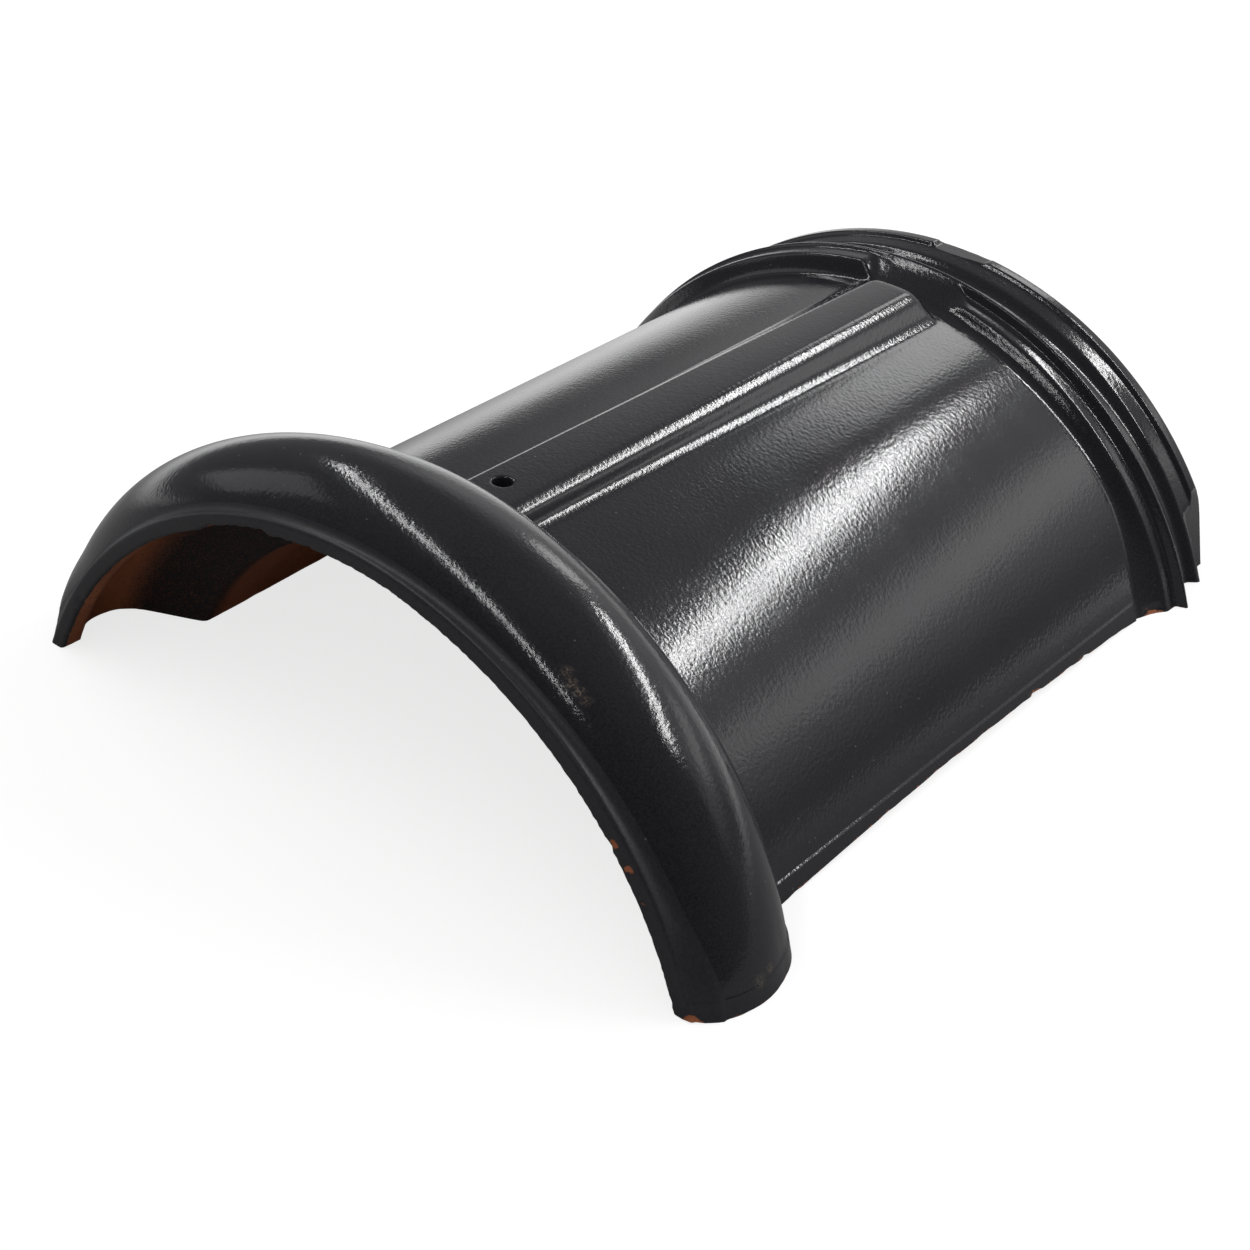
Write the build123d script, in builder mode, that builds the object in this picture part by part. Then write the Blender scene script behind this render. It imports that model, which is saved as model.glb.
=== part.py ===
from build123d import *
import math
import os

# Half round ridge tile, pressed and fired in one piece of clay.
# The front end is a fat hollow roll that laps over the rear end of the next tile.
# X runs across the ridge, Y from the roll to the rear end, Z up from the feet.
# A station is a distance from the front face, and a radius is measured from the barrel's axis.

# Barrel
tile_length = 296.0
body_radius = 116.5
axis_drop = 43.0
wall = 12.0
edge_hollow = 2.5
foot_strip_height = 5.5
foot_strip_projection = 0.6

# Roll at the front end
lip_clearance = 5.5
lip_height = 5.0
lip_width = 7.0
lip_projection = 1.5
roll_width = 45.0
roll_height = 18.5
roll_foot_height = 11.5
roll_root_radius = 3.0
roll_strip_shift = 3.2
roll_strip_lap = 1.5
roll_strip_projection = 1.3

# Hollow inside the roll, which takes the next tile's rim
hollow_depth = 6.0
hollow_width = 24.0
shoulder_width = 9.0

# Raised band along the crown
band_top_width = 21.0
band_base_width = 33.0
band_height = 6.5
band_gap = 3.0
band_end_slope = 3.0
band_edge_radius = 3.0
band_root_radius = 4.0

# Storm rib, widths along the tile and heights above the body
rib_riser_width = 3.3
rib_riser_height = 4.0
rib_shelf_width = 5.3
rib_shelf_rise = 0.9
crest_riser_width = 1.3
crest_width = 1.3
crest_height = 8.0
crest_back_width = 2.1
cove_radius = 4.0

# Groove behind the rib and the stepped rim that goes into the next tile
groove_width = 10.7
groove_height = 1.0
step_riser_width = 2.8
step_height = 3.4
step_shelf_width = 5.8
step_shelf_rise = 0.9
rim_width = 6.4
rim_slope_width = 1.0
rim_height = 5.6
rim_chamfer = 1.5

# Trimmed sides of the rim
trim_lap = 4.1
trim_foot_inset = 7.2
trim_lean_angle = 14.0

# Cut-outs at the crown
recess_floor_width = 26.0
recess_top_width = 36.0
recess_corner_radius = 5.0
notch_width = 19.0

# Nail hole through the band
nail_hole_diameter = 5.5
nail_hole_gap = 14.5

# Every cut runs this far past the faces that it opens
overrun = 10.0

# The band's sides run on into the body by this share of their own length
band_root_share = 0.5

# Radii and heights that follow from the sizes above
inner_radius = body_radius - wall
lip_radius = body_radius + lip_clearance
crest_radius = body_radius + crest_height
groove_radius = body_radius + groove_height
rib_shelf_radius = body_radius + rib_riser_height + rib_shelf_rise
step_radius = body_radius + step_height
step_shelf_radius = step_radius + step_shelf_rise
rim_radius = body_radius + rim_height
crown_height = body_radius - axis_drop
band_top = crown_height + band_height

# Stations that follow from the two ends
front = -tile_length / 2
hollow_end = lip_width + hollow_width
shoulder_end = hollow_end + shoulder_width
roll_start = lip_projection
roll_middle = roll_start + roll_width / 2
roll_end = roll_start + roll_width
rim_start = tile_length - rim_width
step_station = rim_start - step_shelf_width
groove_end = step_station - step_riser_width
groove_start = groove_end - groove_width
crest_station = groove_start - crest_back_width - crest_width
shelf_end = crest_station - crest_riser_width
riser_top = shelf_end - rib_shelf_width
rib_start = riser_top - rib_riser_width
band_end = rib_start - band_gap
trim_start = rim_start - trim_lap

# The roll is thinner at its feet than at its crown, so it turns about a higher axis.
roll_crown_height = lip_radius + roll_height - axis_drop
roll_foot_half_width = math.sqrt((lip_radius + roll_foot_height) ** 2 - axis_drop**2)
roll_radius = (roll_crown_height**2 + roll_foot_half_width**2) / (2 * roll_crown_height)
roll_axis_height = roll_crown_height - roll_radius
roll_base_radius = roll_radius - roll_height

barrel_axis = Axis((0, 0, -axis_drop), (0, 1, 0))
roll_axis = Axis((0, 0, roll_axis_height), (0, 1, 0))

# On these two planes a point is a station and a radius.
barrel_section = Plane(origin=(0, front, -axis_drop), x_dir=(0, 1, 0), z_dir=(1, 0, 0))
roll_section = Plane(origin=(0, front, roll_axis_height), x_dir=(0, 1, 0), z_dir=(1, 0, 0))


def cross_section(station):
    """Plane across the tile that faces the rear: local x is across the ridge and local y is up."""
    return Plane(origin=(0, front + station, 0), x_dir=(-1, 0, 0), z_dir=(0, 1, 0))


# Everything inside the arch: the lip, the hollow of the roll, its shoulder and the barrel's bore
with BuildPart() as inside:
    with BuildSketch(barrel_section):
        with BuildLine():
            Polyline((-overrun, 0), (-overrun, lip_radius), (lip_width, lip_radius))
            ThreePointArc(
                (lip_width, lip_radius),
                (lip_width + hollow_width / 2, lip_radius + hollow_depth),
                (hollow_end, lip_radius),
            )
            Polyline(
                (hollow_end, lip_radius),
                (shoulder_end, inner_radius),
                (tile_length + overrun, inner_radius),
                (tile_length + overrun, 0),
                (-overrun, 0),
            )
        make_face()
    revolve(axis=barrel_axis)

# Space at the crown between the band's end and the crest, with sloping ends
with BuildPart() as recess:
    with BuildSketch(barrel_section):
        with BuildLine():
            FilletPolyline(
                (band_end, body_radius),
                (crest_station - recess_corner_radius / 2, body_radius),
                (crest_station, crest_radius),
                radius=recess_corner_radius,
            )
            Polyline(
                (crest_station, crest_radius),
                (crest_station, crest_radius + overrun),
                (band_end, crest_radius + overrun),
                (band_end, body_radius),
            )
        make_face()
    revolve(axis=barrel_axis)
    with BuildSketch(cross_section(0)):
        with BuildLine():
            Polyline(
                (-recess_floor_width / 2, 0),
                (-recess_floor_width / 2, crown_height),
                (-recess_top_width / 2, crown_height + crest_height),
                (-recess_top_width / 2, crown_height + crest_height + overrun),
                (recess_top_width / 2, crown_height + crest_height + overrun),
                (recess_top_width / 2, crown_height + crest_height),
                (recess_floor_width / 2, crown_height),
                (recess_floor_width / 2, 0),
                close=True,
            )
        make_face()
    extrude(amount=tile_length, mode=Mode.INTERSECT)

# Sides of the rim, trimmed to a lean so that the next tile drops over them
rim_crown_height = rim_radius - axis_drop
trim_foot = math.sqrt(rim_radius**2 - axis_drop**2) - trim_foot_inset
trim_lean = math.tan(math.radians(trim_lean_angle))
with BuildPart() as trim:
    with BuildSketch(cross_section(trim_start)):
        with BuildLine():
            Polyline(
                (trim_foot + overrun * trim_lean, -overrun),
                (trim_foot - rim_crown_height * trim_lean, rim_crown_height),
                (rim_radius, rim_crown_height),
                (rim_radius, -overrun),
                close=True,
            )
        make_face()
        mirror(about=Plane.YZ)
    extrude(amount=tile_length - trim_start + overrun)

with BuildPart() as ridge_tile:
    # Body with the crown band, from the middle of the roll to the band's end
    band_base_half = band_base_width / 2
    band_top_half = band_top_width / 2
    band_base_height = math.sqrt(body_radius**2 - band_base_half**2) - axis_drop
    band_root_half = band_base_half + band_root_share * (band_base_half - band_top_half)
    band_root_height = band_base_height - band_root_share * (band_top - band_base_height)
    with BuildSketch(cross_section(roll_middle)) as body_profile:
        with Locations((0, -axis_drop)):
            Circle(body_radius)
        with BuildLine():
            Polyline(
                (-band_root_half, band_root_height),
                (-band_top_half, band_top),
                (band_top_half, band_top),
                (band_root_half, band_root_height),
                close=True,
            )
        make_face()
        fillet(body_profile.vertices().group_by(Axis.Y)[-2], band_root_radius)
        fillet(body_profile.vertices().group_by(Axis.Y)[-1], band_edge_radius)
        with Locations((0, -axis_drop)):
            Circle(inner_radius - overrun, mode=Mode.SUBTRACT)
    extrude(amount=band_end - roll_middle)

    # Narrow strips along the long edges, a little proud of the body
    with BuildSketch(cross_section(roll_middle)):
        with Locations((0, -axis_drop)):
            Circle(body_radius + foot_strip_projection)
        with Locations((0, foot_strip_height)):
            Rectangle(
                2 * (body_radius + overrun),
                foot_strip_height + overrun,
                align=(Align.CENTER, Align.MAX),
                mode=Mode.INTERSECT,
            )
    extrude(amount=rib_start - roll_middle)

    # Storm rib, groove and stepped rim in one turned section
    with BuildSketch(barrel_section):
        with BuildLine():
            FilletPolyline(
                (band_end, body_radius),
                (rib_start, body_radius),
                (riser_top, body_radius + rib_riser_height),
                radius=cove_radius,
            )
            Polyline(
                (riser_top, body_radius + rib_riser_height),
                (shelf_end, rib_shelf_radius),
                (crest_station, crest_radius),
                (crest_station + crest_width, crest_radius),
                (groove_start, groove_radius),
                (groove_end, groove_radius),
                (step_station, step_radius),
                (rim_start, step_shelf_radius),
                (rim_start + rim_slope_width, rim_radius),
                (tile_length - rim_chamfer, rim_radius),
                (tile_length, rim_radius - rim_chamfer),
                (tile_length, inner_radius - overrun),
                (band_end, inner_radius - overrun),
                (band_end, body_radius),
            )
        make_face()
    revolve(axis=barrel_axis)

    # Roll, half an ellipse standing on its base
    with BuildSketch(roll_section):
        with BuildLine():
            EllipticalCenterArc(
                (roll_middle, roll_base_radius),
                roll_width / 2,
                roll_height,
                start_angle=0,
                arc_size=180,
            )
            Polyline(
                (roll_start, roll_base_radius),
                (roll_start, inner_radius - overrun),
                (roll_end, inner_radius - overrun),
                (roll_end, roll_base_radius),
            )
        make_face()
    revolve(axis=roll_axis)

    # Cove between the roll and the body, run on into the roll where its feet are thin
    with BuildSketch(barrel_section):
        with BuildLine():
            RadiusArc(
                (roll_end, body_radius + roll_root_radius),
                (roll_end + roll_root_radius, body_radius),
                roll_root_radius,
            )
            Polyline(
                (roll_end + roll_root_radius, body_radius),
                (roll_end + roll_root_radius, inner_radius - overrun),
                (roll_end - roll_root_radius, inner_radius - overrun),
                (roll_end - roll_root_radius, body_radius + 2 * roll_root_radius),
                (roll_end, body_radius + roll_root_radius),
            )
        make_face()
    revolve(axis=barrel_axis)

    # Strips round the feet of the roll, set forward so that they take in the lip
    roll_strip_middle = front + roll_middle - roll_strip_shift
    roll_strip_base = roll_foot_half_width + roll_strip_projection - roll_height
    with BuildSketch(Plane.XY):
        with Locations((-roll_strip_base, roll_strip_middle), (roll_strip_base, roll_strip_middle)):
            Ellipse(roll_height, roll_width / 2 + roll_strip_lap)
        with Locations((0, front)):
            Rectangle(
                2 * (roll_foot_half_width + overrun),
                roll_end + overrun,
                align=(Align.CENTER, Align.MIN),
                mode=Mode.INTERSECT,
            )
    extrude(amount=foot_strip_height)

    # Flat lip in front of the roll
    with BuildSketch(barrel_section):
        with Locations((0, inner_radius)):
            Rectangle(lip_width, lip_radius + lip_height - inner_radius, align=(Align.MIN, Align.MIN))
    revolve(axis=barrel_axis)

    # Sloping end of the band
    with BuildSketch(barrel_section):
        with BuildLine():
            Polyline(
                (band_end, body_radius),
                (band_end - 2 * band_end_slope, body_radius + 2 * band_height),
                (band_end, body_radius + 2 * band_height),
                close=True,
            )
        make_face()
    revolve(axis=barrel_axis, mode=Mode.SUBTRACT)

    # Notch in the rim at the crown
    with BuildSketch(cross_section(rim_start)):
        with Locations((0, step_shelf_radius - axis_drop)):
            Rectangle(notch_width, rim_height + overrun, align=(Align.CENTER, Align.MIN))
    extrude(amount=rim_width + overrun, mode=Mode.SUBTRACT)

    add(recess.part, mode=Mode.SUBTRACT)
    add(trim.part, mode=Mode.SUBTRACT)
    add(inside.part, mode=Mode.SUBTRACT)
    split(bisect_by=Plane.XY, keep=Keep.TOP)

    # Long edges bowed off the ground, so that the tile stands on the feet of the roll and the rib
    with BuildSketch(Plane.YZ.offset(-body_radius - overrun)):
        with BuildLine():
            ThreePointArc(
                (front + roll_end, 0),
                (front + (roll_end + rib_start) / 2, edge_hollow),
                (front + rib_start, 0),
            )
            Line((front + rib_start, 0), (front + roll_end, 0))
        make_face()
    extrude(amount=2 * (body_radius + overrun), mode=Mode.SUBTRACT)

    # Nail hole through the band
    with Locations((0, front + roll_end + nail_hole_gap, band_top)):
        Hole(nail_hole_diameter / 2, depth=band_height + wall + overrun)

ridge_tile.part.label = "ridge_tile"

os.makedirs("parts", exist_ok=True)
export_step(ridge_tile.part, "parts/ridge_tile.step")
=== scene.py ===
import math

import bpy
import numpy as np
from mathutils import Matrix, Vector, noise


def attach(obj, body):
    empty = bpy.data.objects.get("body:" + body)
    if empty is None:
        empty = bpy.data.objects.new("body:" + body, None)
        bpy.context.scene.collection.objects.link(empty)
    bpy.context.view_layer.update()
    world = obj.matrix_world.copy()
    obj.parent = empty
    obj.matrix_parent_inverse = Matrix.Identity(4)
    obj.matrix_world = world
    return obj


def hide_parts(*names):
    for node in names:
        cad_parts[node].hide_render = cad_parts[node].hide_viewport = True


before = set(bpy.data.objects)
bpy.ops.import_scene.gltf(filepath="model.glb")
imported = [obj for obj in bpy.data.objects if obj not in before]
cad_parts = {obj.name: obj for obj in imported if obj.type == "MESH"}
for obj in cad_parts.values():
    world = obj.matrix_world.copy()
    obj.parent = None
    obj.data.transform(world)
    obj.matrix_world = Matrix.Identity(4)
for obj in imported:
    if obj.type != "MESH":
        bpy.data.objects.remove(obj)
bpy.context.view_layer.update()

MM = 0.001

# Sizes of the tile in millimetres, most of them as in the part's source.
# A station is a distance from the front face and a radius is measured from the barrel's axis.
tile_length = 296.0
body_radius = 116.5
axis_drop = 43.0
wall = 12.0
bore_edge = 1.0

# Bottom edge of the body: its bow, its raggedness, how high they reach, and the strip along it
edge_hollow = 2.5
edge_ragged = 0.55
edge_reach = 5.3
strip_projection = 0.6
strip_turn = (5.62, 5.4)

lip_radius = 122.0
lip_height = 5.0
lip_width = 7.0
lip_inner_edge = 1.1
lip_outer_edge = 1.7
lip_round = 1.3
lip_fillet = 2.0

roll_start = 1.5
roll_width = 45.0
roll_height = 18.5
roll_foot_height = 11.5
roll_root = 3.0

# Pads at the roll's feet
pad_shift = 3.2
pad_lap = 1.5
pad_projection = 1.3
pad_gap = 0.4
pad_inset = 0.15
pad_proud = (0.15, 0.35)
pad_proud_stations = (27.0, 40.0)
pad_fade = (30.0, 5.0)
pad_turn = (5.7, 5.1)

# Hollow of the roll and the slope from it down to the bore
hollow_depth = 6.0
hollow_end = 31.0
hollow_turn = 1.0
hollow_lead = 0.8
shoulder_end = 40.0
shoulder_turn = 1.5
shoulder_lead = 0.8
shoulder_run = 7.2

band_height = 6.5
band_end = 254.0
band_end_slope = 3.0
band_end_reach = 5.0

rib_start = 257.0
riser_top = 260.3
riser_height = 4.6
shelf_end = 265.6
shelf_height = 4.9
crest_station = 266.9
crest_width = 1.3
crest_height = 8.0
groove_start = 270.3
groove_end = 281.0
groove_height = 1.0
step_station = 283.8
step_height = 3.4
step_shelf_height = 4.3
rim_start = 289.6
rim_slope_width = 1.0
rim_height = 5.6
rim_chamfer = 1.5
trim_start = 285.5
trim_step = 0.15
trim_round = 0.3
trim_foot = 107.07
trim_lean = math.tan(math.radians(14.0))
notch_half = 9.5
notch_shift = 0.6

hole_radius = 2.75
hole_station = 61.0
hole_block = 4.5

# The roll is a little low at the crown, fuller on the left side and drawn in at its left foot.
# The ranges are in degrees from the crown.
crown_sink = 1.5
crown_sink_range = (50.0, 4.0)
left_swell = 6.4
left_swell_range = (-2.0, -66.0)
foot_sink = 4.0
foot_sink_range = (-62.0, -71.0)

# The crown's features sit a little to one side, more so towards the rear, and the band tapers.
# Each pair has the value at the roll and the value at the rear end.
crown_shift_ends = (1.0, 4.2)
band_bevel_slope = (0.75, 0.50)
band_bevel_start = (8.8, 6.2)
band_bevel_end = (12.1, 9.6)
band_toe_start = (12.8, 13.7)
band_toe_end = (15.3, 17.8)
band_bow = 150.0
band_bevel_round = 0.6
band_turn_share = 0.6
band_end_round = 0.8
toe_easing = 0.15
toe_cap = 0.5
toe_round = 0.4

# Recess in the rib at the crown: its floor, and where its two ends start and how they slope and close in
recess_start = band_end - 0.5
recess_end = crest_station + 0.2
recess_curve = 1.6
recess_top = 4.6
recess_left = -14.6
recess_left_slope = 0.92
recess_left_lean = 0.17
recess_right = 26.4
recess_right_slope = 0.62
recess_right_lean = 0.88
recess_left_round = 1.0
recess_right_round = 3.0
recess_rib_round = 0.9
recess_fill_range = (6.5, 2.5)
left_lift = 1.8
left_lift_range = (-2.0, -9.0)

# How far the rib's front is drawn forward at the feet, over which angles in degrees and which stations
foot_spread = 6.0
foot_spread_range = (48.0, 67.0)
foot_spread_start = (236.0, 256.0)
foot_spread_end = 256.5

# Breakage of the lip's inner edge, with its windows in degrees from the crown
break_fine = 0.6
break_deep = 0.8
break_broad = 1.1
break_window_left = (-26.5, -24.0)
break_window_right = (-13.0, -14.5)
whole_edge = 0.9
whole_edge_range = (2.0, 20.0)

# Rows of the section and columns across the arch
roll_steps = 56
root_steps = 8
body_steps = 78
bore_steps = 42
hollow_steps = 18
rear_spacing = 1.5
band_end_rows = (1.0, 1.6, 2.1, 2.6, 3.2, 3.8, 4.3, 4.7, 5.1)
column_step = 0.75
crown_columns = 37
side_columns = 66
side_end = 55.0
level_range = (44.0, 60.0)
strip_columns = (6.0, 5.72, 5.58, 5.44, 5.3, 5.0, 4.4, 3.7, 3.0, 2.4, 1.8, 1.2, 0.7, 0.3, 0.0)
inside_kinds = ("bore", "hole_in", "shoulder", "hollow", "under")

inner_radius = body_radius - wall
lip_top = lip_radius + lip_height
crown_height = body_radius - axis_drop
band_top = crown_height + band_height
roll_end = roll_start + roll_width
roll_middle = roll_start + roll_width / 2
roll_half = roll_width / 2
roll_crown = lip_radius + roll_height - axis_drop
roll_foot_half = math.sqrt((lip_radius + roll_foot_height) ** 2 - axis_drop**2)
roll_turn = (roll_crown**2 + roll_foot_half**2) / (2 * roll_crown)
roll_offset = roll_crown - roll_turn + axis_drop
roll_base = roll_turn - roll_height
lip_foot_half = math.sqrt(lip_top**2 - axis_drop**2)
pad_middle = roll_middle - pad_shift
pad_half = roll_half + pad_lap
pad_base = roll_foot_half + pad_projection - roll_height
rim_foot = rim_height - rim_chamfer - 1.0
hole_front = hole_station - hole_block
hole_rear = hole_station + hole_block
hole_row_count = int(round(2 * hole_block)) + 1
hole_cells = int(round(hole_block / column_step))


def smooth(low, high, value):
    """Smooth step from 0 at low to 1 at high."""
    t = np.clip((value - low) / (high - low), 0.0, 1.0)
    return t * t * (3.0 - 2.0 * t)


def soft_min(a, b, reach):
    """Smaller of two, rounded over where they are within reach of each other."""
    h = np.clip(0.5 + 0.5 * (b - a) / reach, 0.0, 1.0)
    return b + (a - b) * h - reach * h * (1.0 - h)


def soft_max(a, b, reach):
    """Larger of two, rounded over where they are within reach of each other."""
    return -soft_min(-a, -b, reach)


def curve_shares(t):
    """Shares of the start, the corner and the end of a rounded corner."""
    return (1 - t) ** 2, 2 * t * (1 - t), t * t


def bend(start, corner, end, count):
    """Points of a rounded corner, from start to end, without the last one."""
    points = []
    for i in range(count):
        a, b, c = curve_shares(i / count)
        points.append(tuple(a * p + b * q + c * r for p, q, r in zip(start, corner, end)))
    return points


def run(start, end, spacing):
    """Points of a straight run, from start to end, without the last one."""
    length = math.dist(start, end)
    count = max(1, math.ceil(length / spacing))
    return [tuple(p + (q - p) * i / count for p, q in zip(start, end)) for i in range(count)]


def towards(start, end, distance):
    """Point at a distance from start on the way to end."""
    share = distance / math.dist(start, end)
    return tuple(p + (q - p) * share for p, q in zip(start, end))


def rounded_line(corners, spacing, count):
    """Points along straight runs whose corners, each a station, a height and a reach, are rounded."""
    points = []
    last = corners[0][:2]
    for before, here, after in zip(corners, corners[1:], corners[2:]):
        start = towards(here[:2], before[:2], here[2])
        end = towards(here[:2], after[:2], here[2])
        points += run(last, start, spacing)
        points += bend(start, here[:2], end, count)
        last = end
    points += run(last, corners[-1][:2], spacing)
    points.append(corners[-1][:2])
    return points


def wander(seed, scale, places):
    """Smooth noise from -1 to 1 at a list of places."""
    shift = Vector((17.3 * seed, 5.1 * seed, 9.7 * seed))
    return np.array([noise.noise(Vector(p) * scale + shift) for p in places])


# The crown band

def along(station, front_value, rear_value):
    """Value that changes evenly from the roll to the rear end."""
    return front_value + (rear_value - front_value) * (station - roll_end) / (tile_length - roll_end)


def crown_shift(station):
    return along(station, *crown_shift_ends)


def band_rise(across, station):
    """Height of the crown band over the body: a bowed top, a bevel, a steep flank and a sloping toe."""
    slope = along(station, *band_bevel_slope)
    bevel_start = along(station, *band_bevel_start)
    bevel_end = along(station, *band_bevel_end)
    toe_start = along(station, *band_toe_start)
    toe_end = along(station, *band_toe_end)
    body = np.sqrt(body_radius**2 - across**2) - axis_drop
    offset = np.abs(across - crown_shift(station))
    top = band_top - offset**2 / band_bow
    edge = band_top - bevel_start**2 / band_bow
    bevel = edge - slope * (offset - bevel_start)
    edge = edge - slope * (bevel_end - bevel_start)
    toe_slope = slope - toe_easing
    toe_rise = toe_slope * (toe_end - toe_start)
    toe_height = math.sqrt(body_radius**2 - toe_start**2) - axis_drop + toe_rise
    steep = (edge - toe_height) / (toe_start - bevel_end)
    flank = edge - steep * (offset - bevel_end)
    turn = band_turn_share * (steep - slope)
    crest = soft_min(soft_min(top, bevel, band_bevel_round), flank, turn)
    toe = soft_min(toe_slope * (toe_end - offset), toe_rise + toe_cap, toe_cap)
    toe = soft_max(toe, np.zeros_like(across), toe_round)
    rise = soft_max(crest - body, toe, turn)
    end = (band_end - station) / band_end_slope
    return rise * float(np.clip(soft_min(1.0, end, band_end_round), 0.0, 1.0))


def body_at(angle, station):
    """Radius of the body with its crown band, along a ray at an angle from the vertical."""
    across = body_radius * np.sin(angle)
    for _ in range(3):
        radius = body_radius + band_rise(across, station) * np.cos(angle)
        across = radius * np.sin(angle)
    return radius


def crown_surface(across, station):
    """Height of the crown at a place across the ridge, on the very surface of the grid."""
    angle = np.array([math.atan(across / (band_top + axis_drop))])
    for _ in range(4):
        radius = body_at(angle, station)
        angle = angle + (across - radius * np.sin(angle)) / radius
    return float((body_at(angle, station) * np.cos(angle))[0]) - axis_drop


# The roll, which turns about an axis of its own

def roll_local(angle, radius):
    """Radius about the roll's axis, from an angle and a radius about the barrel's axis."""
    return np.sqrt((radius * np.cos(angle) - roll_offset) ** 2 + (radius * np.sin(angle)) ** 2)


def roll_global(angle, local):
    """Radius about the barrel's axis of a place on the roll."""
    return roll_offset * np.cos(angle) + np.sqrt(local**2 - (roll_offset * np.sin(angle)) ** 2)


def roll_rise(angle):
    """Height of the roll's ellipse: a little low at the crown and fuller on the left side."""
    degrees = np.degrees(angle)
    crown = crown_sink * smooth(*crown_sink_range, degrees)
    left = left_swell * smooth(*left_swell_range, degrees)
    foot = foot_sink * smooth(*foot_sink_range, degrees)
    return roll_height - crown + left - foot


def roll_span(angle, lip_level):
    """Where the roll's ellipse passes a level over the lip and where it meets the cove behind it."""
    rise = roll_rise(angle)
    lip = np.clip((roll_local(angle, lip_level) - roll_base) / rise, 0.0, 1.0)
    root = roll_local(angle, body_at(angle, roll_end) + roll_root)
    root = np.clip((root - roll_base) / rise, 0.0, 1.0)
    return np.arcsin(lip), math.pi - np.arcsin(root)


def roll_place(angle, turn):
    """Station and radius of the roll's ellipse at a turn."""
    station = roll_middle - roll_half * np.cos(turn)
    return station, roll_global(angle, roll_base + roll_rise(angle) * np.sin(turn))


def roll_row(share):
    """Row on the roll's ellipse, from the lip at 0 to the cove at 1."""
    def row(angle):
        first, last = roll_span(angle, lip_top + lip_fillet)
        return roll_place(angle, first + (last - first) * share)
    return row


def lip_row(share):
    """Row of the hollow corner between the lip and the roll."""
    a, b, c = curve_shares(share)

    def row(angle):
        crease, _ = roll_place(angle, roll_span(angle, lip_top)[0])
        end, top = roll_place(angle, roll_span(angle, lip_top + lip_fillet)[0])
        return a * lip_round + b * crease + c * end, (a + b) * lip_top + c * top
    return row


def root_row(share):
    """Row of the cove between the roll and the body."""
    a, b, c = curve_shares(share)

    def row(angle):
        body = body_at(angle, roll_end + roll_root)
        start, _ = roll_place(angle, roll_span(angle, lip_top)[1])
        end = roll_end + roll_root
        top = body + roll_root
        return a * start + b * roll_end + c * end, a * top + (b + c) * body
    return row


def broken_edge(angle):
    """How far the lip's inner edge is broken back: scallops, deeper left of the crown."""
    degrees = np.degrees(angle)
    fine = np.abs(wander(3, 1.0, [(d * 0.85, 0.0, 0.0) for d in degrees]))
    broad = np.abs(wander(4, 1.0, [(d * 0.42, 0.0, 0.0) for d in degrees]))
    window = smooth(*break_window_left, degrees) * smooth(*break_window_right, degrees)
    deep = window * (break_deep + break_broad * broad)
    return break_fine * fine + deep - whole_edge * smooth(*whole_edge_range, degrees)


def edge_row(station, radius, share):
    """Row near the lip's inner edge, which takes a share of the breakage."""
    def row(angle):
        return np.full_like(angle, station), radius + share * broken_edge(angle)
    return row


def plain_row(station, radius):
    """Row of one station and one radius."""
    def row(angle):
        return np.full_like(angle, station), np.full_like(angle, radius)
    return row


def body_row(station):
    """Row on the body and its crown band."""
    def row(angle):
        return np.full_like(angle, station), body_at(angle, station)
    return row


# The rear end

def rear_line():
    """Stations and heights above the body of the rib, the groove and the rim."""
    corners = [
        (band_end + 0.6, 0.0, 0.0),
        (rib_start, 0.0, 2.1),
        (riser_top, riser_height, 0.9),
        (shelf_end, shelf_height, 0.8),
        (crest_station, crest_height, 0.6),
        (crest_station + crest_width, crest_height, 0.5),
        (groove_start, groove_height, 1.4),
        (groove_end, groove_height, 1.3),
        (step_station, step_height, 0.6),
        (rim_start, step_shelf_height, 0.4),
        (rim_start + rim_slope_width, rim_height, 0.5),
        (tile_length - rim_chamfer, rim_height, 0.6),
        (tile_length, rim_height - rim_chamfer, 0.6),
        (tile_length, rim_foot, 0.0),
    ]
    line = rounded_line(corners, rear_spacing, 4)
    stations = [p[0] for p in line]
    heights = [p[1] for p in line]
    step = [trim_start - trim_step, trim_start + trim_step]
    extra = [(s, float(np.interp(s, stations, heights))) for s in step]
    before = [p for p in line if p[0] < step[0]]
    after = [p for p in line if p[0] > step[1]]
    return before + extra + after


def recess_floor(station):
    """Height of the recess at the crown: a slope up to the crest."""
    t = np.clip((station - recess_start) / (crest_station - recess_start), 0.0, 1.0)
    return crest_height * t**recess_curve


def recess_side(across, station):
    """Height of the recess's two sloping ends, which close in towards the crest."""
    behind = station - rib_start
    left_top = recess_left + recess_left_lean * behind
    right_top = recess_right - recess_right_lean * behind
    left = recess_top + left_lift - recess_left_slope * (across - left_top)
    right = recess_top - recess_right_slope * (right_top - across)
    return left, right


def cut_recess(across, station, height):
    """Radius of the rib, with its left shelf lifted and the recess cut into its crown."""
    left, right = recess_side(across, station)
    cove = np.full_like(across, recess_floor(station))
    shelf = smooth(rib_start, riser_top, station) * smooth(crest_station, shelf_end - 0.3, station)
    rib = height + left_lift * shelf * smooth(*left_lift_range, across)
    fill = np.maximum(cove - rib, 0.0) * smooth(*recess_fill_range, np.maximum(left, right))
    floor = soft_max(soft_max(cove, left, recess_left_round), right, recess_right_round)
    return body_radius + soft_min(rib + fill, floor, recess_rib_round)


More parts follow.
